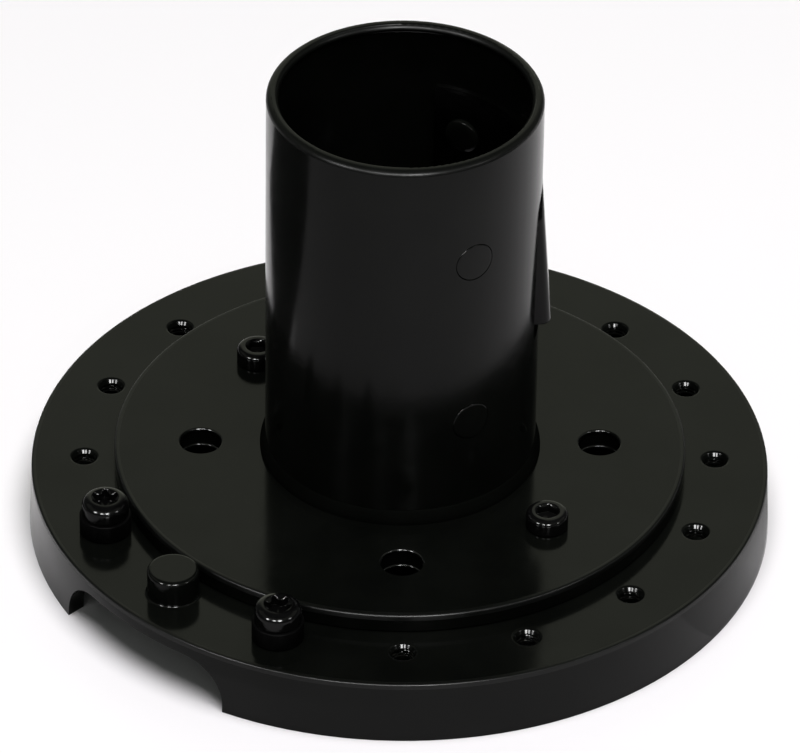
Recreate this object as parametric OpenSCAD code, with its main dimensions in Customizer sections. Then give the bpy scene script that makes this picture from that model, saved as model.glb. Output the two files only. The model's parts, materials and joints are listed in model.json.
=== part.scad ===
// Swivel base for a post: a low counter ring, a flanged tube that turns on it,
// two movable end stops, and a sprung catch in the tube for the column above.
// Millimetres. Z is up, the origin is the centre of the face on the counter.
// Angles are seen from above, 0 along +X, positive towards +Y.

/* [Base ring] */
// Diameter of the ring at its top edge
ring_d = 150; // [148:0.5:156]
// Diameter of the ring where it meets the counter
foot_d = 151.2; // [150:0.2:158]
// Height of the ring above the counter
ring_h = 13.5; // [13.2:0.1:16]
// Thickness of the ring's top plate
plate_t = 2.8; // [2.4:0.1:3]
// Thickness of the skirt's wall
skirt_t = 3.4; // [2.5:0.1:4]
// Radius on the skirt's top edge
ring_edge_r = 0.4; // [0.3:0.1:1.2]
// Width of the cable notch in the skirt
notch_w = 44; // [30:1:46]
// Radius of the notch's upper corners
notch_corner_r = 9; // [4:0.5:10]
// Direction of the cable notch
notch_angle = 225; // [215:1:235]

/* [Stops] */
// Number of stop holes round the ring
stop_count = 16; // [16]
// Diameter of the circle that the stop holes lie on
stop_pcd = 128.6; // [128:0.2:130]
// Diameter of a stop screw's thread
stop_thread_d = 5; // [4:0.5:5]
// Diameter of the countersink on a stop hole
stop_sink_d = 6; // [5.4:0.1:6.6]
// Angles of the two stop screws
stop_angles = [202.5, 247.5];
// Angle of the fixed pin
pin_angle = 225; // [225]
// Outer diameter of a stop sleeve
sleeve_d = 10.4; // [9:0.2:10.8]
// Height of a stop sleeve
sleeve_h = 4.1; // [3:0.1:5]
// Height of the fixed pin above the ring
pin_h = 6; // [4.5:0.1:7]
// Diameter of the fixed pin
pin_d = 10.4; // [9:0.2:10.8]

/* [Flange and post] */
// Diameter of the turning flange
flange_d = 116.2; // [114:0.2:116.4]
// Height of the flange's top face above the ring
flange_rise = 4.1; // [3.5:0.1:5]
// Outer diameter of the post tube
tube_d = 55; // [54:0.5:56]
// Wall thickness of the post tube
tube_t = 2; // [1.8:0.1:2.2]
// Height of the tube's rim above the ring
tube_rise = 88.9; // [86:0.1:110]
// Angle of the stop lug on the flange
lug_angle = 90; // [60:1:120]

/* [Fixings] */
// Radius of the circle of the counter screws and the flange screws
fixing_r = 40.6; // [40.2:0.1:41]
// Diameter of the access holes in the flange
access_d = 9; // [8.6:0.1:9.4]
// Diameter of the counter screw holes
counter_hole_d = 5; // [4:0.1:5.4]
// Angles of the counter screw holes
counter_angles = [0, 90, 180, 270];
// Angles of the two flange screws
flange_screw_angles = [136, 316];
// Head diameter of the stop screws
m5_head_d = 9.5; // [8.5:0.1:10]

/* [Catch] */
// Height of the catch's lower edge above the ring
catch_low = 38.9; // [38:0.1:44]
// Height of the top of the catch window above the ring
window_high = 69.7; // [66:0.1:72]
// How far the catch stands out of the tube
catch_proud = 2.2; // [2:0.1:3.6]
// Radius of the arch at the top of the catch window
arch_r = 7; // [6:0.1:7.4]
// Half the width of the window at its lower edge
window_half_w = 8.2; // [7.4:0.1:8.4]
// Heights of the two rows of rivets above the ring
rivet_rows = [26.7, 65.2];
// Angle of the rivets to each side of the catch
rivet_angle = 60; // [52:1:66]
// Diameter of a rivet's flush head
rivet_d = 8.2; // [7:0.1:10]

/* [Hidden] */
$fn = 96;
eps = 0.01;

// Ring and the stepped web inside it
ring_r = ring_d / 2;
foot_r = foot_d / 2;
skirt_in_r = ring_r - skirt_t;
pocket_r = 50;
step_r = 53;
web_t = 2.6;
web_top = 10;
web_low = web_top - web_t;
bush_t = 2;
bush_out_r = 32;
boss_r = 4.8;
counter_sink_d = 8.6;
counter_sink_h = 1.8;
plate_low = ring_h - plate_t;
notch_lip = 0.3;
notch_top = plate_low - notch_lip;
stop_r = stop_pcd / 2;
stop_pitch = 360 / stop_count;
stop_sink_h = 0.5;

// Turning parts
gap = 0.3;
slip_t = 0.4;
slip_gap = 0.1;
fit_gap = 0.05;
neck_r = bush_out_r - bush_t - fit_gap;
hub_r = pocket_r - 0.5;
hub_low = web_top + slip_t + slip_gap;
hub_top = ring_h + gap;
hub_bore_r = 24;
flange_top = ring_h + flange_rise;
flange_r = flange_d / 2;
flange_edge_r = 0.5;
lug_w = 12;
lug_r = 66;
lug_corner_r = 1.5;
slip_band = [45.6, 49.3];
low_slip_band = [32.2, 35];
retainer_r = 35.2;
retainer_t = 1.5;
retainer_top = 6.2;
retainer_low = retainer_top - retainer_t;
retainer_screw_r = 27;
retainer_screw_d = 3;
retainer_head_d = 5.4;
retainer_head_h = 1.2;
retainer_thread_l = 5.5;
washer_t = 0.3;
washer_wave = 0.22;
washer_waves = 3;
washer_steps = 72;

// Post tube
tube_r = tube_d / 2;
bore_r = tube_r - tube_t;
tube_top = ring_h + tube_rise;
rim_out_r = 1.2;
rim_in_r = 0.4;
collar_r = 1.8;
collar_in = 0.7;
collar_up = 1.4;

// Screw heads
m5_hole_d = 5.5;
thread_gap = 0.05;
stop_head_h = 3.9;
stop_shank_below = 4;
pin_tail_h = 0.8;
flange_head_h = 3.7;
flange_head_d = 8.5;
flange_thread_l = 6.4;
flange_core_d = 4.2;
torx_r = 2.7;
torx_lobe_r = 0.75;
hex_af = 4;
recess_h = 2.2;

// Catch
catch_z = ring_h + catch_low;
window_top = ring_h + window_high;
arch_z = window_top - arch_r;
window_low = catch_z - 3.7;
ramp_top = ring_h + 67;
ramp_lift = 0.15;
window_gap = 0.4;
carrier_out_r = bore_r - fit_gap;
carrier_in_r = 24.3;
carrier_angle = 75;
carrier_z = [ring_h + 22, ring_h + 74.5];
carrier_window_gap = 0.6;
lug_y = [8.9, 10.3];
lug_x = [19.4, 23];
pivot_x = 21.4;
pivot_z = 78.5;
pivot_d = 2.5;
pivot_l = 21.2;
knuckle_r = 2.9;
block_x = 20.8;
block_half_w = 8.2;
block_r = 24.15;
knuckle_out_r = 23.65;
block_low = 46.2;
spring_half_w = 3.4;
spring_wire_r = 0.4;
spring_coil_r = 1.9;
spring_turns = 6;
spring_pitch = 0.9;
spring_leg_l = 14;
rivet_shank_d = 5;
rivet_tail_d = 7.6;
rivet_tail_h = 1.1;
rivet_play = 0.1;
rivet_head_l = 1.9;

// ---- shared shapes ----

// Puts a copy of its children at each angle, at the given radius
module at_angles(angles, r) {
    for (a = angles) rotate([0, 0, a]) translate([r, 0, 0]) children();
}

// Flat ring of the given radii between two heights
module ring(r_in, r_out, z_low, z_high) {
    translate([0, 0, z_low]) difference() {
        cylinder(r = r_out, h = z_high - z_low);
        translate([0, 0, -1]) cylinder(r = r_in, h = z_high - z_low + 2);
    }
}

// Outline of a rectangle with rounded upper corners, centred on x, its foot on y = 0
module arched_outline(w, h, r) {
    translate([-w / 2, 0]) square([w, h - r]);
    translate([-w / 2 + r, 0]) square([w - 2 * r, h]);
    for (side = [-1, 1]) translate([side * (w / 2 - r), h - r]) circle(r = r);
}

// Profile of a round head with a rounded top edge, for rotate_extrude
module head_profile(r, h, edge) {
    square([r, h - edge]);
    square([r - edge, h]);
    translate([r - edge, h - edge]) circle(r = edge);
}

// Six-lobed recess
module torx_recess() {
    inner_r = torx_r - torx_lobe_r;
    cylinder(r = inner_r, h = recess_h + 1);
    for (i = [0:5]) rotate([0, 0, i * 60]) translate([inner_r, 0, 0])
        cylinder(r = torx_lobe_r, h = recess_h + 1, $fn = 32);
}

// Extrudes an outline drawn in Y and Z along X, between two X values
module along_x(x_low, x_high) {
    translate([x_low, 0, 0]) rotate([90, 0, 90])
        linear_extrude(height = x_high - x_low) children();
}

// Extrudes an outline drawn in X and Z along Y, centred on Y = 0
module along_y(w) {
    translate([0, w / 2, 0]) rotate([90, 0, 0])
        linear_extrude(height = w) children();
}

// Outline of the catch window in Y and Z, grown by a margin
module window_outline(grow) {
    low_w = window_half_w + grow;
    high_w = arch_r + grow;
    polygon([[-low_w, window_low - grow], [low_w, window_low - grow],
             [high_w, arch_z], [-high_w, arch_z]]);
    translate([0, arch_z]) circle(r = arch_r + grow);
}

// ---- fixed base ----

module base_profile() {
    corner_z = ring_h - ring_edge_r;
    corner_r = ring_r - ring_edge_r;
    polygon([[skirt_in_r, 0], [foot_r, 0], [ring_r, corner_z], [corner_r, corner_z],
             [corner_r, ring_h], [pocket_r, ring_h], [pocket_r, web_top],
             [bush_out_r, web_top], [bush_out_r, web_low], [step_r, web_low],
             [step_r, plate_low], [skirt_in_r, plate_low]]);
    translate([corner_r, corner_z]) circle(r = ring_edge_r);
}

module stop_hole() {
    translate([0, 0, plate_low - 1]) cylinder(d = stop_thread_d, h = plate_t + 2);
    translate([0, 0, ring_h - stop_sink_h])
        cylinder(d1 = stop_thread_d, d2 = stop_sink_d, h = stop_sink_h + eps);
}

module counter_hole() {
    translate([0, 0, -1]) cylinder(d = counter_hole_d, h = web_top + 2);
    translate([0, 0, web_top - counter_sink_h])
        cylinder(d1 = counter_hole_d, d2 = counter_sink_d, h = counter_sink_h + eps);
}

module cable_notch() {
    rotate([0, 0, notch_angle]) along_x(step_r + 4, foot_r + 5)
        translate([0, -1]) arched_outline(notch_w, notch_top + 1, notch_corner_r);
}

module base_ring() {
    color([0.03, 0.035, 0.03]) difference() {
        union() {
            rotate_extrude() base_profile();
            at_angles(counter_angles, fixing_r) cylinder(r = boss_r, h = web_low + 1);
        }
        at_angles([0:stop_pitch:359], stop_r) stop_hole();
        at_angles(counter_angles, fixing_r) counter_hole();
        cable_notch();
    }
}

module bearing_bush() {
    color([0.85, 0.83, 0.76]) ring(bush_out_r - bush_t, bush_out_r, web_low, web_top);
}

module upper_slip_ring() {
    color([0.9, 0.9, 0.88]) ring(slip_band[0], slip_band[1], web_top, web_top + slip_t);
}

module lower_slip_ring() {
    color([0.9, 0.9, 0.88])
        ring(low_slip_band[0], low_slip_band[1], web_low - slip_t, web_low);
}

module stop_pin() {
    foot = 0.6;
    pin_r = pin_d / 2;
    color([0.04, 0.04, 0.04]) at_angles([pin_angle], stop_r) {
        translate([0, 0, ring_h]) rotate_extrude() {
            head_profile(pin_r, pin_h, 0.8);
            difference() {
                square([pin_r + foot, foot]);
                translate([pin_r + foot, foot]) circle(r = foot, $fn = 48);
            }
        }
        translate([0, 0, plate_low - pin_tail_h])
            cylinder(d = stop_thread_d - thread_gap, h = plate_t + pin_tail_h + eps);
    }
}

module stop_screws() {
    head_z = ring_h + sleeve_h;
    dome_r = 1.5;
    color([0.08, 0.08, 0.08]) at_angles(stop_angles, stop_r) difference() {
        union() {
            translate([0, 0, head_z]) rotate_extrude()
                head_profile(m5_head_d / 2, stop_head_h, dome_r);
            translate([0, 0, plate_low - stop_shank_below])
                cylinder(d = stop_thread_d - thread_gap,
                         h = head_z - plate_low + stop_shank_below + eps);
        }
        translate([0, 0, head_z + stop_head_h - recess_h]) torx_recess();
    }
}

module stop_sleeves() {
    color([0.05, 0.05, 0.05]) at_angles(stop_angles, stop_r)
        ring(stop_thread_d / 2, sleeve_d / 2, ring_h, ring_h + sleeve_h);
}

// ---- turning flange, hub and post ----

module flange_profile() {
    corner_z = flange_top - flange_edge_r;
    corner_r = flange_r - flange_edge_r;
    polygon([[hub_bore_r, hub_top], [flange_r, hub_top], [flange_r, corner_z],
             [corner_r, corner_z], [corner_r, flange_top], [hub_bore_r, flange_top]]);
    translate([corner_r, corner_z]) circle(r = flange_edge_r);
}

module stop_lug() {
    root_r = flange_r - 3;
    rotate([0, 0, lug_angle]) translate([root_r, 0, hub_top]) rotate([0, 0, -90])
        linear_extrude(height = flange_top - hub_top)
            arched_outline(lug_w, lug_r - root_r, lug_corner_r);
}

module flange_plate() {
    depth = flange_top - hub_top + 2;
    color([0.03, 0.035, 0.03]) difference() {
        union() {
            rotate_extrude() flange_profile();
            stop_lug();
        }
        at_angles(counter_angles, fixing_r) translate([0, 0, hub_top - 1])
            cylinder(d = access_d, h = depth);
        at_angles(flange_screw_angles, fixing_r) translate([0, 0, hub_top - 1])
            cylinder(d = m5_hole_d, h = depth);
    }
}

module swivel_hub() {
    sink = 0.4;
    color([0.12, 0.12, 0.12]) difference() {
        union() {
            ring(hub_bore_r, hub_r, hub_low, hub_top);
            ring(hub_bore_r, neck_r, retainer_top, hub_low + eps);
        }
        at_angles(counter_angles, fixing_r) {
            translate([0, 0, hub_low - 1]) cylinder(d = access_d, h = hub_top - hub_low + 2);
            translate([0, 0, hub_top - sink])
                cylinder(d1 = access_d, d2 = access_d + 2 * sink, h = sink + eps);
        }
        at_angles(flange_screw_angles, fixing_r) translate([0, 0, hub_low - 1])
            cylinder(d = flange_core_d, h = hub_top - hub_low + 2);
        at_angles([45:90:315], retainer_screw_r) translate([0, 0, retainer_top - 1])
            cylinder(d = retainer_screw_d, h = retainer_thread_l + 1);
    }
}

module flange_screws() {
    edge = 1.1;
    mouth = 0.5;
    color([0.08, 0.08, 0.08]) at_angles(flange_screw_angles, fixing_r) difference() {
        union() {
            translate([0, 0, flange_top]) rotate_extrude()
                head_profile(flange_head_d / 2, flange_head_h, edge);
            translate([0, 0, hub_top])
                cylinder(d = 5 - thread_gap, h = flange_top - hub_top + eps);
            translate([0, 0, flange_top - flange_thread_l])
                cylinder(d = flange_core_d - thread_gap, h = flange_thread_l);
        }
        translate([0, 0, flange_top + flange_head_h - recess_h])
            cylinder(d = hex_af / cos(30), h = recess_h + 1, $fn = 6);
        translate([0, 0, flange_top + flange_head_h - mouth])
            cylinder(d1 = hex_af, d2 = hex_af + 2 * mouth, h = mouth + eps);
    }
}

module retainer_plate() {
    color([0.6, 0.62, 0.65]) difference() {
        ring(hub_bore_r, retainer_r, retainer_low, retainer_top);
        at_angles([45:90:315], retainer_screw_r) {
            translate([0, 0, retainer_low - 1])
                cylinder(d = retainer_screw_d + 0.2, h = retainer_t + 2);
            translate([0, 0, retainer_low - eps])
                cylinder(d1 = retainer_head_d + 0.2, d2 = retainer_screw_d + 0.2,
                         h = retainer_head_h + eps);
        }
    }
}

module retainer_screws() {
    slot = 0.8;
    color([0.65, 0.66, 0.68]) at_angles([45:90:315], retainer_screw_r) difference() {
        translate([0, 0, retainer_low]) union() {
            cylinder(d1 = retainer_head_d, d2 = retainer_screw_d - thread_gap,
                     h = retainer_head_h);
            cylinder(d = retainer_screw_d - thread_gap,
                     h = retainer_t + retainer_thread_l - 1);
        }
        for (turn = [0, 90]) rotate([0, 0, turn])
            translate([-1.5, -slot / 2, retainer_low - 1]) cube([3, slot, 1.8]);
    }
}

// Spring washer: a flat ring whose height rises and falls round its circle
function wave_z(i) = retainer_top + 0.02 + washer_wave
    + washer_wave * cos(washer_waves * i * 360 / washer_steps);

function washer_point(i, r, up) =
    [r * cos(i * 360 / washer_steps), r * sin(i * 360 / washer_steps), wave_z(i) + up];

module wave_washer() {
    n = washer_steps;
    r_in = low_slip_band[0];
    r_out = low_slip_band[1] - 0.1;
    corners = [[r_in, 0], [r_out, 0], [r_out, washer_t], [r_in, washer_t]];
    points = [for (i = [0:n - 1]) for (c = corners) washer_point(i, c[0], c[1])];
    faces = [for (i = [0:n - 1]) for (k = [0:3])
        [4 * i + k, 4 * i + (k + 1) % 4,
         4 * ((i + 1) % n) + (k + 1) % 4, 4 * ((i + 1) % n) + k]];
    color([0.7, 0.7, 0.72]) polyhedron(points = points, faces = faces, convexity = 4);
}

module tube_profile() {
    out_z = tube_top - rim_out_r;
    in_z = tube_top - rim_in_r;
    polygon([[bore_r, flange_top], [tube_r, flange_top], [tube_r, out_z],
             [tube_r - rim_out_r, out_z], [tube_r - rim_out_r, tube_top],
             [bore_r + rim_in_r, tube_top], [bore_r + rim_in_r, in_z], [bore_r, in_z]]);
    translate([tube_r - rim_out_r, out_z]) circle(r = rim_out_r);
    translate([bore_r + rim_in_r, in_z]) circle(r = rim_in_r, $fn = 48);
}

// Places children on the four rivet axes, X pointing out through the tube
module at_rivets() {
    for (side = [-1, 1]) for (row = rivet_rows)
        translate([0, 0, ring_h + row]) rotate([0, 0, side * rivet_angle])
            rotate([0, 90, 0]) children();
}

module post_tube() {
    color([0.03, 0.035, 0.03]) difference() {
        rotate_extrude() tube_profile();
        along_x(bore_r - 6, tube_r + 4) window_outline(0);
        at_rivets() translate([0, 0, bore_r - 4])
            cylinder(d = rivet_d + rivet_play, h = tube_t + 8);
    }
}

module weld_collar() {
    color([0.03, 0.035, 0.03]) rotate_extrude() intersection() {
        translate([tube_r - collar_in, flange_top + collar_up]) circle(r = collar_r);
        translate([tube_r, flange_top]) square([collar_r, 2 * collar_r]);
    }
}

// ---- sprung catch ----

module latch_carrier() {
    color([0.5, 0.52, 0.55]) difference() {
        union() {
            rotate([0, 0, -carrier_angle]) rotate_extrude(angle = 2 * carrier_angle)
                translate([carrier_in_r, carrier_z[0]])
                    square([carrier_out_r - carrier_in_r, carrier_z[1] - carrier_z[0]]);
            for (side = [0, 1]) mirror([0, side, 0])
                translate([lug_x[0], lug_y[0], pivot_z - 4])
                    cube([lug_x[1] - lug_x[0], lug_y[1] - lug_y[0], 8]);
        }
        along_x(carrier_in_r - 3, carrier_out_r + 1) window_outline(carrier_window_gap);
        at_rivets() translate([0, 0, carrier_in_r - 3])
            cylinder(d = rivet_shank_d + rivet_play, h = 6);
        translate([pivot_x, 0, pivot_z]) rotate([90, 0, 0])
            cylinder(d = pivot_d, h = pivot_l + 4, center = true);
    }
}

module carrier_rivets() {
    tail_z = carrier_in_r - rivet_tail_h;
    color([0.05, 0.05, 0.05]) at_rivets() {
        intersection() {
            translate([0, 0, tube_r - rivet_head_l]) cylinder(d = rivet_d, h = rivet_head_l);
            rotate([0, -90, 0]) cylinder(r = tube_r, h = rivet_d + 2, center = true);
        }
        translate([0, 0, tail_z])
            cylinder(d = rivet_shank_d, h = tube_r - rivet_head_l - tail_z + eps);
        intersection() {
            translate([0, 0, tail_z])
                cylinder(d1 = rivet_tail_d - 1.4, d2 = rivet_tail_d, h = rivet_tail_h);
            rotate([0, -90, 0])
                cylinder(r = carrier_in_r, h = rivet_tail_d + 2, center = true);
        }
    }
}

module latch_pin() {
    color([0.7, 0.7, 0.72]) translate([pivot_x, 0, pivot_z]) rotate([90, 0, 0])
        cylinder(d = pivot_d, h = pivot_l, center = true);
}

// Part of the catch that lies behind the window, with the knuckle on the pivot pin
module tooth_block() {
    intersection() {
        union() {
            translate([block_x, -block_half_w, block_low])
                cube([5, 2 * block_half_w, pivot_z - block_low]);
            translate([pivot_x, 0, pivot_z]) rotate([90, 0, 0])
                cylinder(r = knuckle_r, h = 2 * block_half_w, center = true);
        }
        union() {
            translate([0, 0, block_low - 1]) cylinder(r = knuckle_out_r, h = 40);
            translate([0, 0, block_low - 1])
                cylinder(r = block_r, h = pivot_z - knuckle_r - block_low);
        }
    }
}

// Ramp that shows in the window
module tooth_ramp() {
    intersection() {
        along_y(2 * window_half_w + 2) polygon([
            [block_x + 1, catch_z], [tube_r + catch_proud, catch_z],
            [tube_r + ramp_lift, ramp_top], [tube_r - 0.1, window_top],
            [block_x + 1, window_top]]);
        along_x(block_x, tube_r + 6) window_outline(-window_gap);
    }
}

module latch_tooth() {
    color([0.04, 0.04, 0.04]) difference() {
        union() {
            tooth_block();
            tooth_ramp();
        }
        translate([block_x - 5, -spring_half_w, pivot_z - 4])
            cube([8.5, 2 * spring_half_w, 20]);
        translate([pivot_x, 0, pivot_z]) rotate([90, 0, 0])
            cylinder(d = pivot_d + 2 * fit_gap, h = 40, center = true);
    }
}

module latch_spring() {
    half_l = (spring_turns - 1) * spring_pitch / 2;
    leg_x = block_x - spring_wire_r - 0.05;
    coil_x = pivot_x - spring_coil_r;
    color([0.75, 0.75, 0.77]) {
        for (i = [0:spring_turns - 1])
            translate([pivot_x, i * spring_pitch - half_l, pivot_z]) rotate([90, 0, 0])
                rotate_extrude() translate([spring_coil_r, 0]) circle(r = 0.47, $fn = 24);
        translate([coil_x, half_l, pivot_z - spring_leg_l])
            cylinder(r = spring_wire_r, h = spring_leg_l, $fn = 24);
        translate([pivot_x + spring_coil_r, -half_l, pivot_z])
            cylinder(r = spring_wire_r, h = 3, $fn = 24);
    }
}

base_ring();
bearing_bush();
upper_slip_ring();
lower_slip_ring();
stop_pin();
stop_screws();
stop_sleeves();
flange_plate();
swivel_hub();
flange_screws();
retainer_plate();
retainer_screws();
wave_washer();
post_tube();
weld_collar();
latch_carrier();
carrier_rivets();
latch_pin();
latch_tooth();
latch_spring();
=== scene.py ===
"""Looks of the swivel post base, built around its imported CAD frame.

Lengths are in millimetres while a piece is built, and in metres from mesh_piece() on and
on the stage. Angles round the swivel axis are seen from above, 0 along +X, positive
towards +Y.
"""
import json
import math
import bpy
from mathutils import Matrix, Vector, noise


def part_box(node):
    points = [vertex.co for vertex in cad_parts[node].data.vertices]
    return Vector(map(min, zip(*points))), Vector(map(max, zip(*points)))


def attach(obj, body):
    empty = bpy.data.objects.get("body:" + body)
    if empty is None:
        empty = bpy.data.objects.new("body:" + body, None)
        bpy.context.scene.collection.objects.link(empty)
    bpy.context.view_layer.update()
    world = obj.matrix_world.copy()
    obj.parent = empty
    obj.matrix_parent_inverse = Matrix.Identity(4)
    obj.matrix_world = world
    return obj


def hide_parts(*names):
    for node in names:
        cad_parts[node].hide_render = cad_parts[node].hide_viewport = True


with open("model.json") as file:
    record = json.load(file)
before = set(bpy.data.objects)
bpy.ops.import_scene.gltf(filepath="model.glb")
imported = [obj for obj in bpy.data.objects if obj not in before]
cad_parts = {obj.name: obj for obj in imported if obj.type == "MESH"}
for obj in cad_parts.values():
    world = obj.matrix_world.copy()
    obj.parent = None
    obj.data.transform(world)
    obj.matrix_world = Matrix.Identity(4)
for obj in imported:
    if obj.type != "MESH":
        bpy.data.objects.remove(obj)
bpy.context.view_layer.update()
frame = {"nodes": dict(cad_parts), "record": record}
scene = bpy.context.scene
nodes = frame["nodes"]

MM = 0.001
TAU = 2 * math.pi


def top_of(node):
    """Height of a CAD node's highest point, in millimetres."""
    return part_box(node)[1].z / MM


def reach_of(node):
    """Furthest X of a CAD node, in millimetres: its radius, if it is round."""
    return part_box(node)[1].x / MM


RING_TOP = top_of("base_ring")
FLANGE_TOP = top_of("flange_plate")
SLEEVE_TOP = top_of("stop_sleeves")
TUBE_R = reach_of("post_tube")
TUBE_TOP = top_of("post_tube")

# Where the fixings are, as in the CAD
STOP_R = 64.3
STOP_PITCH = 22.5
STOP_SCREW_ANGLES = (202.5, 247.5)
PIN_ANGLE = 225.0
FIXING_R = 40.6
FLANGE_SCREW_ANGLES = (136.0, 316.0)
RIVET_ANGLES = (-60.0, 60.0)
RIVET_HEIGHTS = (RING_TOP + 26.7, RING_TOP + 65.2)

# ---------------------------------------------------------------- mesh helpers


def mesh_piece(name, shape, material, body, sharp=35.0):
    """Makes one piece from millimetre points, smooth but for edges over an angle."""
    verts, faces = shape
    mesh = bpy.data.meshes.new(name)
    mesh.from_pydata([(v[0] * MM, v[1] * MM, v[2] * MM) for v in verts], [], faces)
    mesh.validate()
    mesh.shade_smooth()
    mesh.set_sharp_from_angle(angle=math.radians(sharp))
    mesh.materials.append(material)
    piece = bpy.data.objects.new(name, mesh)
    scene.collection.objects.link(piece)
    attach(piece, body)
    return piece


def polar(r, angle, z):
    return Vector((r * math.cos(angle), r * math.sin(angle), z))


def skinned(verts, across, closed=False):
    """A shape from rows of points, each row an outline of as many points. Its first
    and last rows are filled, or joined to each other if it is closed."""
    faces = []
    count = len(verts) // across
    for k in range(count if closed else count - 1):
        low, high = k * across, (k + 1) % count * across
        for i in range(across):
            j = (i + 1) % across
            faces.append((low + i, low + j, high + j, high + i))
    if not closed:
        faces.append(tuple(reversed(range(across))))
        faces.append(tuple((count - 1) * across + i for i in range(across)))
    return verts, faces


def spun(rings, steps, closed=False):
    """A turned form from rings of radius and height. A radius is a number or a
    function of the angle."""
    verts = []
    for r, z in rings:
        for i in range(steps):
            a = TAU * i / steps
            verts.append(polar(r(a) if callable(r) else r, a, z))
    return skinned(verts, steps, closed)


def placed(shape, matrix):
    """The same shape, moved by a matrix whose lengths are millimetres."""
    verts, faces = shape
    return [matrix @ Vector(v) for v in verts], faces


def joined(shapes):
    """Several shapes as one."""
    verts, faces = [], []
    for part_verts, part_faces in shapes:
        shift = len(verts)
        verts += part_verts
        faces += [tuple(i + shift for i in face) for face in part_faces]
    return verts, faces


def at_angle(angle_deg, r, z):
    """Matrix of a place on a circle round the swivel axis, X pointing outwards."""
    turn = Matrix.Rotation(math.radians(angle_deg), 4, "Z")
    return turn @ Matrix.Translation((r, 0, z))


def arc(r_mid, z_mid, radius, start_deg, end_deg, steps):
    """Points along an arc of a section, angle 0 outwards and 90 up."""
    rings = []
    for i in range(steps + 1):
        a = math.radians(start_deg + (end_deg - start_deg) * i / steps)
        rings.append((r_mid + radius * math.cos(a), z_mid + radius * math.sin(a)))
    return rings


THREAD_PITCH = 0.8
THREAD_ROWS = 10
RUN_OUT_TURNS = 0.4
FLANK_GAIN = 2.2
FLANK_CUT = 0.6


def thread_rings(z_high, z_low, r_major, depth):
    """Rings of a right-hand thread, from the top down, running out at both ends."""
    count = max(2, round((z_high - z_low) / THREAD_PITCH * THREAD_ROWS))
    rings = []
    for i in range(count + 1):
        z = z_high + (z_low - z_high) * i / count
        fade = min(1.0, min(i, count - i) / THREAD_ROWS / RUN_OUT_TURNS)

        def radius(a, z=z, fade=fade):
            phase = (z / THREAD_PITCH - a / TAU) % 1.0
            ridge = min(1.0, max(0.0, FLANK_GAIN * abs(2 * phase - 1) - FLANK_CUT))
            return r_major - depth * (1 - ridge * fade)

        rings.append((radius, z))
    return rings


def swept(path, radius, sides):
    """A round wire along a path of points, with closed ends."""
    verts = []
    normal = None
    for k, point in enumerate(path):
        ahead = path[min(k + 1, len(path) - 1)] - path[max(k - 1, 0)]
        ahead.normalize()
        if normal is None:
            normal = ahead.orthogonal()
        normal = (normal - ahead * normal.dot(ahead)).normalized()
        side = ahead.cross(normal)
        for i in range(sides):
            a = TAU * i / sides
            verts.append(point + radius * (math.cos(a) * normal + math.sin(a) * side))
    return skinned(verts, sides)


# ---------------------------------------------------------------- materials

# Bump distances, in metres
COARSE_BUMP = 0.00004
FINE_BUMP = 0.00002
DUST_BUMP = 0.00001


def new_material(name):
    """A material, its node tree, its Principled shader and its object coordinates."""
    material = bpy.data.materials.new(name)
    material.use_nodes = True
    tree = material.node_tree
    shader = tree.nodes["Principled BSDF"]
    coords = tree.nodes.new("ShaderNodeTexCoord").outputs["Object"]
    return material, tree, shader, coords


def noise_node(tree, vector, scale, detail, rough=0.5):
    node = tree.nodes.new("ShaderNodeTexNoise")
    node.inputs["Scale"].default_value = scale
    node.inputs["Detail"].default_value = detail
    node.inputs["Roughness"].default_value = rough
    tree.links.new(vector, node.inputs["Vector"])
    return node.outputs["Fac"]


def stretched(tree, vector, scale):
    """The coordinates scaled differently along each axis."""
    node = tree.nodes.new("ShaderNodeMapping")
    node.inputs["Scale"].default_value = scale
    tree.links.new(vector, node.inputs["Vector"])
    return node.outputs["Vector"]


def ramp(tree, factor, low, high, from_low=0.35, from_high=0.65):
    """Maps a texture's range onto a pair of values."""
    node = tree.nodes.new("ShaderNodeMapRange")
    node.inputs["From Min"].default_value = from_low
    node.inputs["From Max"].default_value = from_high
    node.inputs["To Min"].default_value = low
    node.inputs["To Max"].default_value = high
    tree.links.new(factor, node.inputs["Value"])
    return node.outputs["Result"]


def two_colours(tree, factor, first, second, at=(0.35, 0.65)):
    """Blends two colours between two values of a factor."""
    node = tree.nodes.new("ShaderNodeValToRGB")
    for element, colour, position in zip(node.color_ramp.elements, (first, second), at):
        element.position = position
        element.color = (*colour, 1)
    tree.links.new(factor, node.inputs["Fac"])
    return node.outputs["Color"]


def bumped(tree, shader, height, strength, distance):
    """Adds a bump on top of any that the shader has already."""
    node = tree.nodes.new("ShaderNodeBump")
    node.inputs["Strength"].default_value = strength
    node.inputs["Distance"].default_value = distance
    tree.links.new(height, node.inputs["Height"])
    socket = shader.inputs["Normal"]
    if socket.is_linked:
        tree.links.new(socket.links[0].from_socket, node.inputs["Normal"])
    tree.links.new(node.outputs["Normal"], socket)


PAINT_COLOURS = ((0.0017, 0.0020, 0.0016), (0.0029, 0.0033, 0.0027))
RIM_SATIN = 0.20


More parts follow.
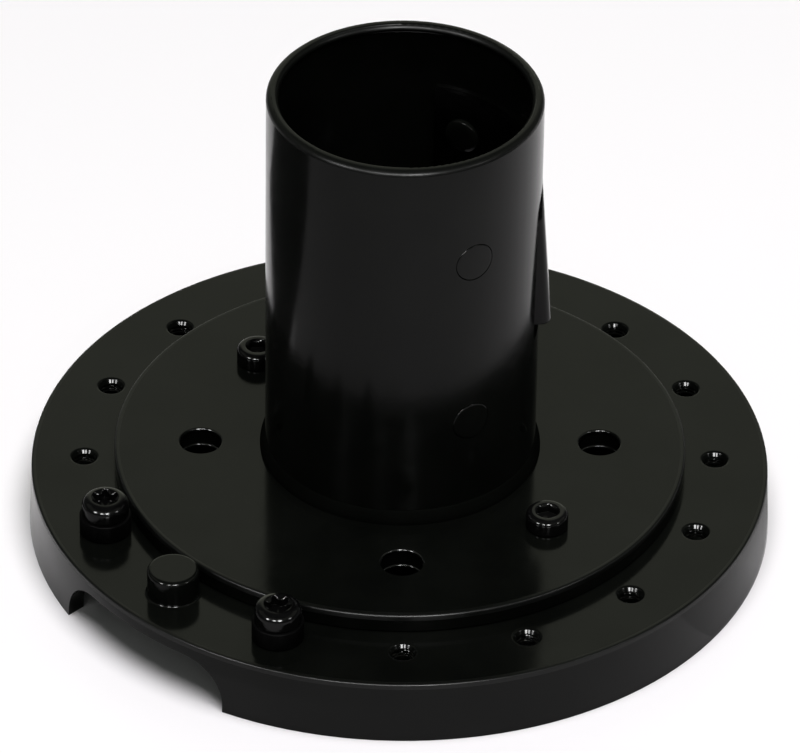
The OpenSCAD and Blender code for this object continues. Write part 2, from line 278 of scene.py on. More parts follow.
def paint_material(name, rough, ior, peel=0.10, colours=PAINT_COLOURS, satin_from=None):
    """Gloss black paint: faint mottling, orange peel and fine specks of dust.
    For a cut edge, satin_from is the pair of heights between which it turns satin."""
    material, tree, shader, coords = new_material(name)
    mottle = noise_node(tree, coords, scale=60, detail=4)
    haze = noise_node(tree, coords, scale=210, detail=5, rough=0.6)
    grain = noise_node(tree, coords, scale=620, detail=2)
    dust = noise_node(tree, coords, scale=2600, detail=1)
    shader.inputs["IOR"].default_value = ior
    tree.links.new(two_colours(tree, mottle, *colours), shader.inputs["Base Color"])
    gloss = ramp(tree, haze, *rough)
    if satin_from:
        split = tree.nodes.new("ShaderNodeSeparateXYZ")
        tree.links.new(coords, split.inputs["Vector"])
        add = tree.nodes.new("ShaderNodeMath")
        tree.links.new(gloss, add.inputs[0])
        satin = ramp(tree, split.outputs["Z"], 0, RIM_SATIN, *satin_from)
        tree.links.new(satin, add.inputs[1])
        gloss = add.outputs["Value"]
    tree.links.new(gloss, shader.inputs["Roughness"])
    bumped(tree, shader, grain, peel, COARSE_BUMP)
    specks = ramp(tree, dust, 0, 1, from_low=0.68, from_high=0.8)
    bumped(tree, shader, specks, 0.25, DUST_BUMP)
    return material


def metal_material(name, colours, rough, grain_scale, bump=0.15):
    """Plated or bright steel with a lay of fine lines and patchy sheen."""
    material, tree, shader, coords = new_material(name)
    lay = stretched(tree, coords, grain_scale)
    lines = noise_node(tree, lay, scale=1, detail=3, rough=0.6)
    patches = noise_node(tree, coords, scale=90, detail=4)
    shader.inputs["Metallic"].default_value = 1.0
    tree.links.new(two_colours(tree, patches, *colours), shader.inputs["Base Color"])
    tree.links.new(ramp(tree, lines, *rough), shader.inputs["Roughness"])
    bumped(tree, shader, lines, bump, FINE_BUMP)
    return material


def turned_material(name, colours, rough, pitch, bump=0.2):
    """Machined steel: fine rings round the swivel axis under the plating."""
    material, tree, shader, coords = new_material(name)
    wave = tree.nodes.new("ShaderNodeTexWave")
    wave.wave_type = "RINGS"
    wave.rings_direction = "Z"
    wave.inputs["Scale"].default_value = 0.31 / pitch
    wave.inputs["Distortion"].default_value = 0.4
    wave.inputs["Detail"].default_value = 2
    tree.links.new(coords, wave.inputs["Vector"])
    patches = noise_node(tree, coords, scale=120, detail=4)
    shader.inputs["Metallic"].default_value = 1.0
    tree.links.new(two_colours(tree, patches, *colours), shader.inputs["Base Color"])
    tree.links.new(ramp(tree, patches, *rough), shader.inputs["Roughness"])
    bumped(tree, shader, wave.outputs["Fac"], bump, FINE_BUMP)
    return material


def moulded_material(name, colours, rough, grain, ior=1.45):
    """Moulded plastic or rubber with a fine even grain."""
    material, tree, shader, coords = new_material(name)
    cloud = noise_node(tree, coords, scale=150, detail=4)
    pits = noise_node(tree, coords, scale=3200, detail=2)
    shader.inputs["IOR"].default_value = ior
    tree.links.new(two_colours(tree, cloud, *colours), shader.inputs["Base Color"])
    tree.links.new(ramp(tree, cloud, *rough), shader.inputs["Roughness"])
    bumped(tree, shader, pits, grain, FINE_BUMP)
    return material


def greys(dark, light):
    return (dark,) * 3, (light,) * 3


paint = paint_material("black_paint", rough=(0.11, 0.16), ior=1.21)
rim_paint = paint_material("black_paint_cut_rim", rough=(0.13, 0.18), ior=1.21,
                           satin_from=((TUBE_TOP - 1.5) * MM, (TUBE_TOP - 1.0) * MM))
weld_paint = paint_material("black_paint_on_weld", rough=(0.50, 0.62), ior=1.02, peel=0.3)
edge_paint = paint_material("black_paint_on_edge", rough=(0.30, 0.38), ior=1.26)
lip_paint = paint_material("black_paint_on_lips", rough=(0.15, 0.21), ior=1.42)
plated = paint_material("black_plating", rough=(0.10, 0.15), ior=1.25, peel=0.20,
                        colours=greys(0.0015, 0.003))
rubber = moulded_material("black_rubber", greys(0.0012, 0.0025), rough=(0.34, 0.46),
                          grain=0.3, ior=1.07)
plastic = moulded_material("black_plastic", greys(0.001, 0.002), rough=(0.14, 0.20),
                           grain=0.20, ior=1.22)
bearing = moulded_material("bearing_plastic", ((0.66, 0.62, 0.52), (0.78, 0.75, 0.66)),
                           rough=(0.3, 0.42), grain=0.3)
turned = turned_material("turned_zinc", ((0.30, 0.31, 0.33), (0.42, 0.43, 0.44)),
                         rough=(0.22, 0.36), pitch=0.00035)
pressed = metal_material("blackened_steel", greys(0.003, 0.006), rough=(0.32, 0.44),
                         grain_scale=(300, 300, 2500), bump=0.05)
zinc = metal_material("zinc_plate", ((0.5, 0.51, 0.53), (0.66, 0.66, 0.66)),
                      rough=(0.18, 0.32), grain_scale=(900, 900, 900))
spring = metal_material("spring_steel", ((0.38, 0.38, 0.39), (0.56, 0.55, 0.53)),
                        rough=(0.16, 0.3), grain_scale=(900, 2600, 900))

SLOT_MATERIAL = {
    "black_paint": paint,
    "black_screw": plated,
    "black_rubber": rubber,
    "black_plastic": plastic,
    "bearing_plastic": bearing,
    "grey_steel": turned,
    "dark_steel": pressed,
    "bright_screw": zinc,
    "spring_steel": spring,
}
for part in frame["record"]["subparts"]:
    finish = SLOT_MATERIAL[part["material_slot"]]
    for material_slot in nodes[part["node"]].material_slots:
        material_slot.material = finish
for material_slot in nodes["post_tube"].material_slots:
    material_slot.material = rim_paint

# ---------------------------------------------------------------- screws

LOBE_SHARPNESS = 1.35


def lobed_outline(outer, inner):
    """Radius of a six-lobed recess at an angle."""
    def radius(a):
        wave = 0.5 + 0.5 * math.cos(6 * a)
        return inner + (outer - inner) * wave ** LOBE_SHARPNESS
    return radius


def hex_outline(across_flats):
    """Radius of a hexagonal recess at an angle."""
    def radius(a):
        return across_flats / 2 / math.cos((a + math.pi / 6) % (math.pi / 3) - math.pi / 6)
    return radius


def between(outline, circle_r, share):
    """An outline part way to a circle."""
    return lambda a: outline(a) * (1 - share) + circle_r * share


SCREW_STEPS = 96
HEAD_EDGE_STEPS = 14
SHANK_R = 2.47
SHANK_THREAD_DEPTH = 0.36
SHANK_TIP_IN = 0.7
# Middle of the recess's floor: radius, height over the floor
RECESS_TIP = (0.35, -0.35)
# Edge of the floor: share of the way from the outline to the middle, height over it
RECESS_FLOOR = ((0.2, -0.08), (0.03, 0.0), (0.0, 0.08))
# Wall and flared mouth: share of the way from the outline to the round mouth, depth
MOUTH_FLARE = ((0.0, 0.62), (0.15, 0.5), (0.55, 0.26), (0.9, 0.08))
# Edge of the mouth: distance outside it, depth
MOUTH_EDGE = ((0.05, 0.015), (0.2, 0.0))
# Foot of the head: distance inside the head's side, height over the seat
HEAD_FOOT = ((0.0, 0.45), (0.0, 0.3), (0.04, 0.12), (0.14, 0.03), (0.25, 0.0), (0.4, 0.0))


def screw_shape(head_r, head_h, edge_r, outline, mouth_r, recess_h, length):
    """A socket screw, its seat at height 0: recess, head and threaded shank."""
    floor = head_h - recess_h
    flat_r = head_r - edge_r
    rings = [(RECESS_TIP[0], floor + RECESS_TIP[1])]
    rings += [(between(outline, 0, share), floor + up) for share, up in RECESS_FLOOR]
    rings += [(between(outline, mouth_r, share), head_h - down) for share, down in MOUTH_FLARE]
    rings += [(mouth_r + out, head_h - down) for out, down in MOUTH_EDGE]
    if flat_r > mouth_r + 0.3:
        rings.append((flat_r - 0.03, head_h))
    rings += arc(flat_r, head_h - edge_r, edge_r, 90, 0, HEAD_EDGE_STEPS)
    rings += [(head_r - inside, up) for inside, up in HEAD_FOOT]
    rings += [(SHANK_R + 0.15, 0), (SHANK_R, -0.15)]
    rings += thread_rings(-0.3, 0.5 - length, SHANK_R, SHANK_THREAD_DEPTH)
    rings += [(SHANK_R - SHANK_THREAD_DEPTH, 0.3 - length), (SHANK_R - SHANK_TIP_IN, -length)]
    return spun(rings, SCREW_STEPS)


def screws_at(screw, circle_r, seat_z, angles, twists):
    """The same screw at several places, each turned its own way."""
    return joined([placed(screw, at_angle(angle, circle_r, seat_z)
                          @ Matrix.Rotation(math.radians(twist), 4, "Z"))
                   for angle, twist in zip(angles, twists)])


stop_screw = screw_shape(
    head_r=4.75, head_h=3.9, edge_r=1.9, outline=lobed_outline(2.72, 1.98), mouth_r=2.78,
    recess_h=2.2, length=SLEEVE_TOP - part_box("stop_screws")[0].z / MM)
stop_screw_set = mesh_piece(
    "stop_screw_set",
    screws_at(stop_screw, STOP_R, SLEEVE_TOP, STOP_SCREW_ANGLES, twists=(8, 41)),
    plated, "base")
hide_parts("stop_screws")

flange_screw = screw_shape(
    head_r=4.25, head_h=3.7, edge_r=1.15, outline=hex_outline(4), mouth_r=2.45,
    recess_h=1.9, length=FLANGE_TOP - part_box("flange_screws")[0].z / MM)
flange_screw_set = mesh_piece(
    "flange_screw_set",
    screws_at(flange_screw, FIXING_R, FLANGE_TOP, FLANGE_SCREW_ANGLES, twists=(17, 34)),
    plated, "swivel")
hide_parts("flange_screws")

# ---------------------------------------------------------------- stop sleeves

SLEEVE_R = 5.2
SLEEVE_BORE_R = 2.5
SLEEVE_CHAMFER = 0.2
SLEEVE_EDGE = 0.35
SLEEVE_EDGE_STEPS = 5
SLEEVE_FOOT = 0.02
sleeve_h = SLEEVE_TOP - RING_TOP
sleeve_mid_r = SLEEVE_R - SLEEVE_EDGE
sleeve_rings = [(SLEEVE_BORE_R, SLEEVE_FOOT), (sleeve_mid_r, SLEEVE_FOOT)]
sleeve_rings += arc(sleeve_mid_r, SLEEVE_EDGE + SLEEVE_FOOT, SLEEVE_EDGE, -90, 0,
                    SLEEVE_EDGE_STEPS)
sleeve_rings += arc(sleeve_mid_r, sleeve_h - SLEEVE_EDGE, SLEEVE_EDGE, 0, 90,
                    SLEEVE_EDGE_STEPS)
sleeve_rings += [(SLEEVE_BORE_R + SLEEVE_CHAMFER, sleeve_h),
                 (SLEEVE_BORE_R, sleeve_h - SLEEVE_CHAMFER)]
sleeve = spun(sleeve_rings, SCREW_STEPS, closed=True)
stop_sleeve_set = mesh_piece("stop_sleeve_set", joined([
    placed(sleeve, at_angle(angle, STOP_R, RING_TOP)) for angle in STOP_SCREW_ANGLES
]), rubber, "base")
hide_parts("stop_sleeves")

# ---------------------------------------------------------------- stop holes

HOLE_R = 2.49
LIP_R = 0.6
LIP_OUT_R = HOLE_R + LIP_R
LIP_STEPS = 8
LEAD_STEPS = 6
LEAD_ANGLE = math.radians(60)
THREAD_MINOR_R = 2.16
THREAD_MAJOR_R = 2.46
THREAD_TOP = RING_TOP - 1.15
THREAD_LOW = RING_TOP - 2.75
# The lips stand this much proud of the ring's top
LIP_LIFT = 0.004
OPEN_HOLE_ANGLES = [k * STOP_PITCH for k in range(16)
                    if k * STOP_PITCH not in (*STOP_SCREW_ANGLES, PIN_ANGLE)]


def hole_lining():
    """Rounded, painted lip of a stop hole, the cone under it, and the thread."""
    rings = [(LIP_OUT_R + 0.1, RING_TOP - 0.3), (LIP_OUT_R + 0.02, RING_TOP - 0.05)]
    rings += [(LIP_OUT_R - x, RING_TOP - LIP_R + LIP_LIFT + z)
              for x, z in arc(0, 0, LIP_R, 90, 30, LIP_STEPS)]
    lead_r, lead_z = rings[-1]
    lead_in = lead_r - THREAD_MINOR_R
    lead_down = lead_in * math.tan(LEAD_ANGLE)
    rings += [(lead_r - lead_in * k / LEAD_STEPS, lead_z - lead_down * k / LEAD_STEPS)
              for k in range(1, LEAD_STEPS + 1)]
    rings += [(THREAD_MINOR_R, THREAD_TOP + 0.02)]
    rings += thread_rings(THREAD_TOP, THREAD_LOW, THREAD_MAJOR_R, THREAD_MAJOR_R - THREAD_MINOR_R)
    rings += [(HOLE_R + 0.1, THREAD_LOW)]
    return spun(list(reversed(rings)), 48, closed=True)


mesh_piece("stop_hole_linings", joined([
    placed(hole_lining(), at_angle(angle, STOP_R, 0)) for angle in OPEN_HOLE_ANGLES
]), paint, "base")

# ---------------------------------------------------------------- painted round edges

PAINT_T = 0.02
FILM_REACH = 0.5
FILM_DROP = 0.8
FILM_LIFT = 0.003
RING_R = 75.0
RING_EDGE_R = 0.4
FLANGE_R = 58.1
FLANGE_EDGE_R = 0.5
DISC_STEPS = 720
DISC_EDGE_STEPS = 14
SKIRT_SLOPE = (reach_of("base_ring") - RING_R) / (RING_TOP - RING_EDGE_R)


def edge_film(disc_r, edge_r, top, slope):
    """Film of paint over a disc's rounded upper edge, a little way inwards over its top
    and down its side. The side spreads by slope for each millimetre down."""
    mid_r = disc_r - edge_r
    mid_z = top - edge_r
    rings = [(mid_r - FILM_REACH, top - 0.1), (mid_r - FILM_REACH, top + FILM_LIFT)]
    rings += arc(mid_r, mid_z, edge_r + PAINT_T, 90, 0, DISC_EDGE_STEPS)
    rings += [(disc_r + PAINT_T + slope * FILM_DROP, mid_z - FILM_DROP),
              (disc_r - 0.1, mid_z - FILM_DROP)]
    return spun(rings, DISC_STEPS, closed=True)


mesh_piece("ring_edge_paint", edge_film(RING_R, RING_EDGE_R, RING_TOP, SKIRT_SLOPE),
           edge_paint, "base", sharp=80)
mesh_piece("flange_edge_paint", edge_film(FLANGE_R, FLANGE_EDGE_R, FLANGE_TOP, 0),
           edge_paint, "swivel", sharp=80)

# ---------------------------------------------------------------- access holes

ACCESS_R = 4.5
ACCESS_LIP_R = 0.42
ACCESS_ANGLES = (0, 90, 180, 270)
HUB_TOP = RING_TOP + 0.3
# One lip at the hole's mouth, and one where it passes into the hub: height of the lip's
# top, radius of the middle of its section
ACCESS_LIPS = ((FLANGE_TOP, ACCESS_R + 0.15), (HUB_TOP - 0.02, ACCESS_R + 0.1))


def access_lip(top, lip_mid_r):
    """Round painted lip that stands a little into an access hole."""
    mid_z = top - ACCESS_LIP_R
    rings = arc(lip_mid_r, mid_z, ACCESS_LIP_R, 90, 270, 16)
    return spun(list(reversed(rings)) + [(lip_mid_r + 0.1, mid_z)], 72, closed=True)


mesh_piece("access_hole_lips", joined([
    placed(access_lip(top, lip_mid_r), at_angle(angle, FIXING_R, 0))
    for angle in ACCESS_ANGLES for top, lip_mid_r in ACCESS_LIPS
]), lip_paint, "swivel", sharp=80)

# ---------------------------------------------------------------- weld bead round the tube

# Section of the bead: distance outside the tube, height over the flange
BEAD_SECTION = ((-0.05, 0.0), (1.0, 0.0), (1.02, 0.35), (0.93, 0.9), (0.75, 1.5),
                (0.5, 2.1), (0.28, 2.6), (0.08, 2.95), (-0.05, 3.0))
RIPPLES = 88
RIPPLE_H = 0.01
LUMP_H = 0.03
LUMP_MOST = 0.04


def rippled(radius):
    """A radius with the faint ripples and lumps of a turned weld, by the angle."""
    def radius_at(a):
        lump = noise.noise(Vector((math.cos(a) * 6, math.sin(a) * 6, 1.3)))
        ripple = RIPPLE_H * math.cos(a * RIPPLES + 2.5 * lump)
        return radius + min(ripple + LUMP_H * lump, LUMP_MOST)
    return radius_at


bead_rings = [(rippled(TUBE_R + out) if out > 0 and up > 0 else TUBE_R + out, FLANGE_TOP + up)
              for out, up in BEAD_SECTION]
bead = mesh_piece("weld_bead", spun(bead_rings, 360, closed=True), weld_paint, "swivel",
                  sharp=60)
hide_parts("weld_collar")

# ---------------------------------------------------------------- rivets in the tube

CARRIER_IN_R = 24.3
RIVET_STEPS = 72
# Domed tail: radius, height over the carrier's inner face
RIVET_TAIL = ((1.2, 1.08), (2.5, 1.05), (3.35, 0.85), (3.7, 0.5), (3.78, 0.2), (3.7, 0.0))
# Shank: radius, distance from the swivel axis
RIVET_SHANK = ((2.48, CARRIER_IN_R - 0.1), (2.48, TUBE_R - 1.9))
# Flush head: radius, depth under the tube's face
RIVET_HEAD = ((4.06, 1.7), (4.06, 0.5), (4.06, 0.22), (4.04, 0.12), (4.0, 0.05),
              (3.94, 0.012), (3.86, 0.0), (3.5, 0.0), (2.8, 0.0), (1.9, 0.0), (0.9, 0.0))


def rivet_shape():
    """A rivet along +X, from the tail inside the carrier to the head in the tube."""
    def carrier_x(across, height):
        return math.sqrt(CARRIER_IN_R ** 2 - across ** 2) - 0.02 - height

    def shank_x(across, x):
        return x

    def tube_x(across, depth):
        return math.sqrt(TUBE_R ** 2 - across ** 2) - depth

    verts = []
    for x_at, rings in ((carrier_x, RIVET_TAIL), (shank_x, RIVET_SHANK), (tube_x, RIVET_HEAD)):
        for r, level in rings:
            for i in range(RIVET_STEPS):
                a = TAU * i / RIVET_STEPS
                across = r * math.cos(a)
                verts.append(Vector((x_at(across, level), across, r * math.sin(a))))
    return skinned(verts, RIVET_STEPS)


rivet = rivet_shape()
rivet_set = mesh_piece("carrier_rivet_set", joined([
    placed(rivet, at_angle(angle, 0, height))
    for angle in RIVET_ANGLES for height in RIVET_HEIGHTS
]), rim_paint, "swivel", sharp=50)
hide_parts("carrier_rivets")

# ---------------------------------------------------------------- sprung catch

TOOTH_TOP = top_of("latch_tooth")
TOOTH_OUT = reach_of("latch_tooth")
LEDGE_Z = RING_TOP + 38.9
LEDGE_HALF_W = 7.64
ARCH_Z = RING_TOP + 62.7
ARCH_R = 6.6
RAMP_TOP_X = TUBE_R + 0.15
RAMP_TOP_Z = RING_TOP + 67.0
TIP_SET_BACK = 0.25
SIDE_EDGE_R = 1.9
SIDE_EDGE_STEPS = 8
LEDGE_EDGE_R = 0.3
PIVOT_X = 21.4
PIVOT_Z = 78.5
BLOCK_X = 20.8


def ramp_x(z):
    """X of the catch's face at a height."""
    share = (z - LEDGE_Z) / (RAMP_TOP_Z - LEDGE_Z)
    if share < 1:
        return TOOTH_OUT + (RAMP_TOP_X - TOOTH_OUT) * share
    return RAMP_TOP_X - TIP_SET_BACK * (z - RAMP_TOP_Z) / (TOOTH_TOP - RAMP_TOP_Z)


def tooth_half_width(z):
    """Half the width of the catch at a height, arched at the top."""
    if z <= ARCH_Z:
        return LEDGE_HALF_W + (ARCH_R - LEDGE_HALF_W) * (z - LEDGE_Z) / (ARCH_Z - LEDGE_Z)
    return math.sqrt(max(0.0, ARCH_R ** 2 - (z - ARCH_Z) ** 2))


def ramp_shape():
    """The catch's ramp: one row of points round it for each height."""
    heights = [LEDGE_Z + up for up in (0, 0.05, 0.15, LEDGE_EDGE_R)]
    heights += [LEDGE_Z + 0.6 + (ARCH_Z - LEDGE_Z - 0.6) * i / 30 for i in range(31)]
    heights += [ARCH_Z + ARCH_R * math.sin(math.radians(90 * i / 26)) for i in range(1, 26)]
    verts = []
    for z in heights:
        w = tooth_half_width(z)
        low = max(0.0, 1 - (z - LEDGE_Z) / LEDGE_EDGE_R)
        face_x = ramp_x(z) - LEDGE_EDGE_R * (1 - math.sqrt(max(0.0, 1 - low * low)))
        edge = min(SIDE_EDGE_R, w * 0.9)
        row = [(BLOCK_X, -w), (face_x - edge - 0.3, -w)]
        for i in range(SIDE_EDGE_STEPS + 1):
            a = math.radians(90 * i / SIDE_EDGE_STEPS)
            row.append((face_x - edge + edge * math.sin(a), -w + edge - edge * math.cos(a)))
        row += [(face_x, -w + edge + (w - edge) * share) for share in (0.15, 0.5, 1.0)]
        row += [(x, -y) for x, y in reversed(row[:-1])]
        verts += [Vector((x, y, z)) for x, y in row]
    return skinned(verts, len(verts) // len(heights))


# The catch's body behind the ramp stays inside these radii, to clear its carrier
BLOCK_OUT_R = 24.1
KNUCKLE_OUT_R = 23.6
KNUCKLE_R = 2.9
KNUCKLE_LOW_Z = PIVOT_Z - 3.1
BLOCK_EDGE = 0.25
# Outlines from the side, as X and height: a cheek with the knuckle round its pin, and
# the web between the cheeks, lower so that the spring has its room
CHEEK = arc(PIVOT_X, PIVOT_Z, KNUCKLE_R, 180, 0, 24) + [
    (24.0, PIVOT_Z - 1), (24.0, PIVOT_Z - 2.9), (24.0, PIVOT_Z - 3.2),
    (24.0, 46.9), (23.6, 46.3), (21.2, 46.3), (BLOCK_X, 46.7),
    (BLOCK_X, PIVOT_Z - 4.6), (18.6, PIVOT_Z - 1.6)]
WEB = [(BLOCK_X, 73.5), (22.2, 74.2), (22.6, 73.6), (22.6, 46.9), (22.2, 46.3),
       (21.2, 46.3), (BLOCK_X, 46.7)]


def slab(outline, y_low, y_high):
    """A plate of the catch's body between two Y, with a small chamfer all round."""
    middle = sum((Vector(point) for point in outline), Vector((0, 0))) / len(outline)
    verts = []
    for y, inset in ((y_low, BLOCK_EDGE), (y_low + BLOCK_EDGE, 0),
                     (y_high - BLOCK_EDGE, 0), (y_high, BLOCK_EDGE)):
        for point in outline:
            x, z = Vector(point) - (Vector(point) - middle).normalized() * inset
            out_r = KNUCKLE_OUT_R if z > KNUCKLE_LOW_Z else BLOCK_OUT_R
            verts.append(Vector((min(x, math.sqrt(out_r ** 2 - y * y)), y, z)))
    return skinned(verts, len(outline))


catch_shape = joined([ramp_shape(), slab(CHEEK, -8.2, -3.5), slab(CHEEK, 3.5, 8.2),
                      slab(WEB, -3.5, 3.5)])
catch = mesh_piece("catch", catch_shape, plastic, "latch", sharp=40)
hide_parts("latch_tooth")

SPRING_R = 1.9
SPRING_HALF_L = 2.25
SPRING_TURNS = 6.5
TURN_STEPS = 28
WIRE_R = 0.4
LONG_LEG = 14
SHORT_LEG = 3


def spring_shape():
    """Torsion spring: a leg down, the turns round the pin, and a leg up."""
    path = [Vector((PIVOT_X - SPRING_R, SPRING_HALF_L, PIVOT_Z - LONG_LEG * (1 - i / 12)))
            for i in range(12)]
    steps = round(SPRING_TURNS * TURN_STEPS)
    for i in range(steps + 1):
        a = math.pi - TAU * i / TURN_STEPS
        path.append(Vector((PIVOT_X + SPRING_R * math.cos(a),
                            SPRING_HALF_L - 2 * SPRING_HALF_L * i / steps,
                            PIVOT_Z + SPRING_R * math.sin(a))))
    path += [Vector((PIVOT_X + SPRING_R, -SPRING_HALF_L, PIVOT_Z + SHORT_LEG * i / 5))
             for i in range(1, 6)]
    return swept(path, WIRE_R, 14)


coil = mesh_piece("torsion_spring", spring_shape(), spring, "latch")
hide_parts("latch_spring")

# ---------------------------------------------------------------- floor and cards
#
# The object is gloss black, so it mainly shows what it mirrors. All lengths are in
# metres from here on. The cards lie on the floor one above the other, seen by the gloss
# alone.


def stage_mesh(name, points, faces, material):
    mesh = bpy.data.meshes.new(name)
    mesh.from_pydata(points, [], faces)
    mesh.materials.append(material)
    stage_object = bpy.data.objects.new(name, mesh)
    scene.collection.objects.link(stage_object)
    return stage_object


def stage_plane(name, corners, z, material):
    return stage_mesh(name, [(x, y, z) for x, y in corners], [tuple(range(len(corners)))],
                      material)


def matt_material(name, grey):
    """Plain matt grey."""
    material, _, shader, _ = new_material(name)
    shader.inputs["Base Color"].default_value = (grey, grey, grey, 1)
    shader.inputs["Roughness"].default_value = 1.0
    return material


def painted_shade_material(name, first, second, at):
    """Matt grey with painted shade, changing with the angle round the base between the pair of
    angles
    at, in turns: 0 is along -X, 0.25 along -Y, 0.5 along +X."""
    material, tree, shader, coords = new_material(name)
    round_axis = tree.nodes.new("ShaderNodeTexGradient")
    round_axis.gradient_type = "RADIAL"
    tree.links.new(coords, round_axis.inputs["Vector"])
    grey = two_colours(tree, round_axis.outputs["Fac"], *greys(first, second), at)
    tree.links.new(grey, shader.inputs["Base Color"])
    shader.inputs["Roughness"].default_value = 1.0
    return material


def only_for_gloss(card):
    """Leaves a stage piece to be seen in reflections alone."""
    card.visible_camera = False
    card.visible_diffuse = False
    card.visible_shadow = False
    card.visible_transmission = False


def sector(r_in, r_out, start_deg, end_deg):
    """Outline of a piece of a ring round the base."""
    turns = [math.radians(start_deg + (end_deg - start_deg) * i / 36) for i in range(37)]
    edge = [(r_in * math.cos(a), r_in * math.sin(a)) for a in turns]
    return edge + [(r_out * math.cos(a), r_out * math.sin(a)) for a in reversed(turns)]


FLOOR_HALF = 3.0
FLOOR_Z = -0.00005
SHADED_TABLE_Z = 0.0003
PAINTED_SHADE_LEFT_Z = 0.0004
BLACK_CARD_Z = 0.0005
DARK_ROOM_Z = 0.0006

FLOOR = [(-FLOOR_HALF, -FLOOR_HALF), (FLOOR_HALF, -FLOOR_HALF),
         (FLOOR_HALF, FLOOR_HALF), (-FLOOR_HALF, FLOOR_HALF)]
floor_material, _, floor_shader, _ = new_material("pale_floor")
floor_shader.inputs["Roughness"].default_value = 0.9
floor_shader.inputs["Specular IOR Level"].default_value = 0.1
floor_shader.inputs["Base Color"].default_value = (0.9, 0.9, 0.9, 1)
stage_plane("floor", FLOOR, FLOOR_Z, floor_material)

# A black card on the table, left of and behind the base
BLACK_CARD = [(-0.088, 0.105), (-0.076, 0.045), (-0.079, 0.018), (-0.150, -0.024),
              (-0.300, -0.060), (-0.300, 0.105)]
only_for_gloss(stage_plane("black_card", BLACK_CARD, BLACK_CARD_Z,
                           matt_material("black_card", 0.01)))

# Painted shade: the table left of the base is darker in reflections, from the front round to the
# black card
PAINTED_SHADE_LEFT = sector(r_in=0.0865, r_out=0.45, start_deg=165, end_deg=270)
only_for_gloss(stage_plane("painted_shade_left", PAINTED_SHADE_LEFT, PAINTED_SHADE_LEFT_Z,
                           painted_shade_material("painted_shade_left", 0.45, 0.86, at=(0.0, 0.25))))

# Painted shade: the table is darker in reflections too, close by the base on the right
SHADED_TABLE = sector(r_in=0.0758, r_out=0.094, start_deg=-34, end_deg=40)
only_for_gloss(stage_plane("shaded_table", SHADED_TABLE, SHADED_TABLE_Z,
                           painted_shade_material("shaded_table", 0.68, 0.27, at=(0.461, 0.503))))

# In front of the lit table the room is dark
DARK_ROOM = sector(r_in=0.20, r_out=2.9, start_deg=180, end_deg=360)
only_for_gloss(stage_plane("dark_room", DARK_ROOM, DARK_ROOM_Z,
                           matt_material("dark_room", 0.05)))

# ---------------------------------------------------------------- light

# A weak band of light round the front and sides, like a light tent
TENT_R = 2.6
TENT_GLOW = 0.4
TENT_AZIMUTHS = range(150, 391, 10)
TENT_ELEVATIONS = (24, 37, 50)


def tent_point(azimuth, elevation):
    a, e = math.radians(azimuth), math.radians(elevation)
    return (TENT_R * math.cos(a) * math.cos(e), TENT_R * math.sin(a) * math.cos(e),
            TENT_R * math.sin(e))


tent_material, _, tent_shader, _ = new_material("light_tent")
tent_shader.inputs["Base Color"].default_value = (0, 0, 0, 1)
tent_shader.inputs["Emission Color"].default_value = (0.97, 1.0, 0.86, 1)
tent_shader.inputs["Emission Strength"].default_value = TENT_GLOW
rows = len(TENT_ELEVATIONS)
only_for_gloss(stage_mesh(
    "light_tent",
    [tent_point(azimuth, elevation) for azimuth in TENT_AZIMUTHS
     for elevation in TENT_ELEVATIONS],
    [(k * rows + i, (k + 1) * rows + i, (k + 1) * rows + i + 1, k * rows + i + 1)
     for k in range(len(TENT_AZIMUTHS) - 1) for i in range(rows - 1)],
    tent_material))

# A lit backdrop behind the base; the sky is dark above it, at its sides and in front
SKY_DARK = (0.11, 0.115, 0.11)
SKY_BRIGHT = (0.81, 0.84, 0.69)
SKY_FADE = (0.25, 0.68)
world = bpy.data.worlds.new("studio")
scene.world = world
world.use_nodes = True
sky_tree = world.node_tree
direction = sky_tree.nodes.new("ShaderNodeTexCoord").outputs["Generated"]
split = sky_tree.nodes.new("ShaderNodeSeparateXYZ")
sky_tree.links.new(direction, split.inputs["Vector"])
aside = sky_tree.nodes.new("ShaderNodeMath")
aside.operation = "ABSOLUTE"
sky_tree.links.new(split.outputs["X"], aside.inputs[0])
behind = sky_tree.nodes.new("ShaderNodeMath")
behind.operation = "SUBTRACT"
sky_tree.links.new(split.outputs["Y"], behind.inputs[0])
sky_tree.links.new(aside.outputs["Value"], behind.inputs[1])
sky = two_colours(sky_tree, behind.outputs["Value"], SKY_DARK, SKY_BRIGHT, SKY_FADE)
background = sky_tree.nodes["Background"]
sky_tree.links.new(sky, background.inputs["Color"])
background.inputs["Strength"].default_value = 1.0

LAMP_AIM = Vector((0, 0, 0.03))
GLOSS_LAMP_DISTANCE = 1.3


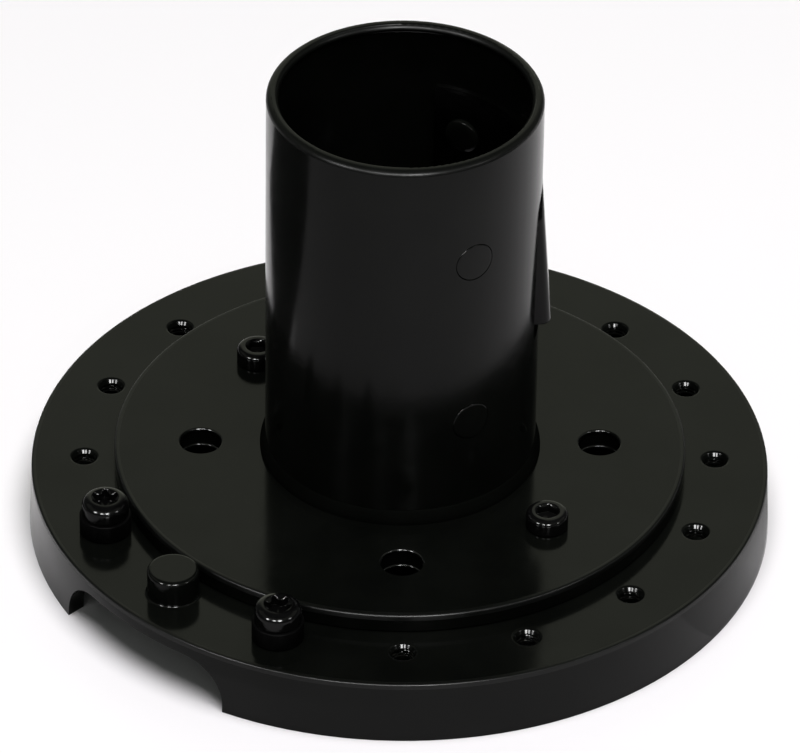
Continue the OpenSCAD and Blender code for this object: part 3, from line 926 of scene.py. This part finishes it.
def round_lamp(name, azimuth, elevation, distance, size, power, colour=(1, 1, 1)):
    """A round soft box that faces the object. Azimuth 0 is the camera's side."""
    a, e = math.radians(azimuth), math.radians(elevation)
    towards = Vector((math.sin(a) * math.cos(e), -math.cos(a) * math.cos(e), math.sin(e)))
    data = bpy.data.lights.new(name, "AREA")
    data.shape = "DISK"
    data.size = size
    data.energy = power
    data.color = colour
    lamp = bpy.data.objects.new(name, data)
    scene.collection.objects.link(lamp)
    lamp.location = towards * distance + LAMP_AIM
    lamp.rotation_mode = "QUATERNION"
    lamp.rotation_quaternion = towards.to_track_quat("Z", "Y")
    return lamp


# A soft light that the gloss does not mirror
soft = round_lamp("overhead", azimuth=20, elevation=78, distance=1.6, size=1.2, power=30,
                  colour=(1.0, 0.97, 1.0))
soft.visible_glossy = False

# Four lamps that only the gloss sees: name, azimuth, elevation, size, power
GLOSS_LAMPS = (
    ("front_left", -49, 23, 0.28, 14.0),
    ("front_mid", -17, 23, 0.26, 13.0),
    ("front_right", 8, 23, 0.34, 26.0),
    ("side_right", 58, 22, 0.24, 3.0),
)
for lamp_name, azimuth, elevation, size, power in GLOSS_LAMPS:
    lamp = round_lamp(lamp_name, azimuth, elevation, GLOSS_LAMP_DISTANCE, size, power)
    lamp.visible_diffuse = False

# ---------------------------------------------------------------- camera

# The camera stands 1.5 m from the middle of the ring's top, as high as its view needs
AIM = Vector((0, 0, 0.0132))
DISTANCE = 1.5
ELEVATION = math.radians(36.375)
OBJECT_TURN = math.radians(1.056)
ROLL = math.radians(-0.898)
NOD = math.radians(-0.642)
PAN = math.radians(-0.008)
SENSOR_MM = 36.0
LENS_MM = 330.9
camera_data = bpy.data.cameras.new("camera")
camera_data.sensor_width = SENSOR_MM
camera_data.lens = LENS_MM
camera_data.clip_end = 20.0
camera = bpy.data.objects.new("camera", camera_data)
scene.collection.objects.link(camera)
scene.camera = camera
back = Vector((0, -math.cos(ELEVATION), math.sin(ELEVATION)))
right = Vector((1, 0, 0))
axes = Matrix((right, back.cross(right), back))
tilt = (Matrix.Rotation(ROLL, 3, "Z") @ Matrix.Rotation(NOD, 3, "X")
        @ Matrix.Rotation(PAN, 3, "Y"))
turn = Matrix.Rotation(-OBJECT_TURN, 3, "Z")
facing = turn @ (tilt @ axes).transposed()
camera.matrix_world = Matrix.Translation(AIM + turn @ (back * DISTANCE)) @ facing.to_4x4()

scene.view_settings.view_transform = "Standard"
scene.view_settings.look = "None"
